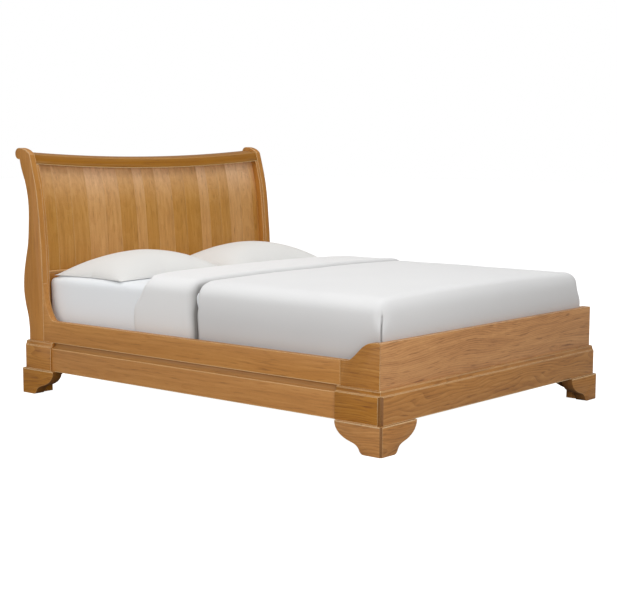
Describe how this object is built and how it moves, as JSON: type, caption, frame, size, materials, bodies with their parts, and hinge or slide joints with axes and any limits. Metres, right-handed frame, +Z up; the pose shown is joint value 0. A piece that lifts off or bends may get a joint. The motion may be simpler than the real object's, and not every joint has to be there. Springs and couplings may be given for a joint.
{
  "type": "sleigh bed",
  "caption": "Oak sleigh bed with a scrolled headboard, low ogee footboard, bracket feet, slatted base, mattress, duvet and pillows.",
  "frame": {"origin": "on the floor, at the middle of the bed's outline", "axes": "+Y towards the headboard, +X to the right seen from the foot, +Z up"},
  "size_m": [1.6706, 2.2276, 1.1674],
  "materials": {
    "oak": "satin",
    "oak_plinth": "satin",
    "oak_panel": "satin",
    "pine": "matte",
    "zinc_steel": "satin",
    "white_cotton": "matte",
    "mattress_ticking": "matte"
  },
  "bodies": {
    "frame": {"centre_leg_front": "pine", "centre_leg_rear": "pine", "centre_rail": "pine", "foot_plinth_block_left": "oak_plinth", "foot_plinth_block_right": "oak_plinth", "footboard": "oak", "footboard_plinth": "oak_plinth", "footboard_return_left": "oak", "footboard_return_right": "oak", "front_bed_bracket_left": "zinc_steel", "front_bed_bracket_right": "zinc_steel", "front_left_foot_block": "pine", "front_left_foot_end": "oak_plinth", "front_left_foot_side": "oak_plinth", "front_right_foot_block": "pine", "front_right_foot_end": "oak_plinth", "front_right_foot_side": "oak_plinth", "head_cross_rail": "oak", "head_plinth_block_left": "oak_plinth", "head_plinth_block_right": "oak_plinth", "headboard_bottom_rail": "oak", "headboard_panel": "oak_panel", "headboard_plinth": "oak_plinth", "headboard_post_left": "oak", "headboard_post_right": "oak", "headboard_stile_left": "oak", "headboard_stile_right": "oak", "headboard_top_rail": "oak", "lower_rail_left": "oak_plinth", "lower_rail_right": "oak_plinth", "rear_bed_bracket_left": "zinc_steel", "rear_bed_bracket_right": "zinc_steel", "rear_left_foot_block": "pine", "rear_left_foot_end": "oak_plinth", "rear_left_foot_side": "oak_plinth", "rear_right_foot_block": "pine", "rear_right_foot_end": "oak_plinth", "rear_right_foot_side": "oak_plinth", "side_rail_left": "oak", "side_rail_right": "oak", "slat_01": "pine", "slat_02": "pine", "slat_03": "pine", "slat_04": "pine", "slat_05": "pine", "slat_06": "pine", "slat_07": "pine", "slat_08": "pine", "slat_09": "pine", "slat_10": "pine", "slat_11": "pine", "slat_12": "pine", "slat_ledger_left": "pine", "slat_ledger_right": "pine"},
    "mattress": {"mattress": "mattress_ticking"},
    "duvet": {"duvet": "white_cotton", "duvet_turnback": "white_cotton"},
    "pillow_left": {"pillow_left": "white_cotton"},
    "pillow_right": {"pillow_right": "white_cotton"}
  },
  "joints": [
    {"name": "mattress_lift", "type": "slide", "parent": "frame", "child": "mattress", "axis": [0, 0, 1], "range_m": [0, 0.9]},
    {"name": "duvet_lift", "type": "slide", "parent": "mattress", "child": "duvet", "axis": [0, 0, 1], "range_m": [0, 0.65]},
    {"name": "pillow_left_lift", "type": "slide", "parent": "mattress", "child": "pillow_left", "axis": [0, 0, 1], "range_m": [0, 0.65]},
    {"name": "pillow_right_lift", "type": "slide", "parent": "mattress", "child": "pillow_right", "axis": [0, 0, 1], "range_m": [0, 0.65]}
  ]
}
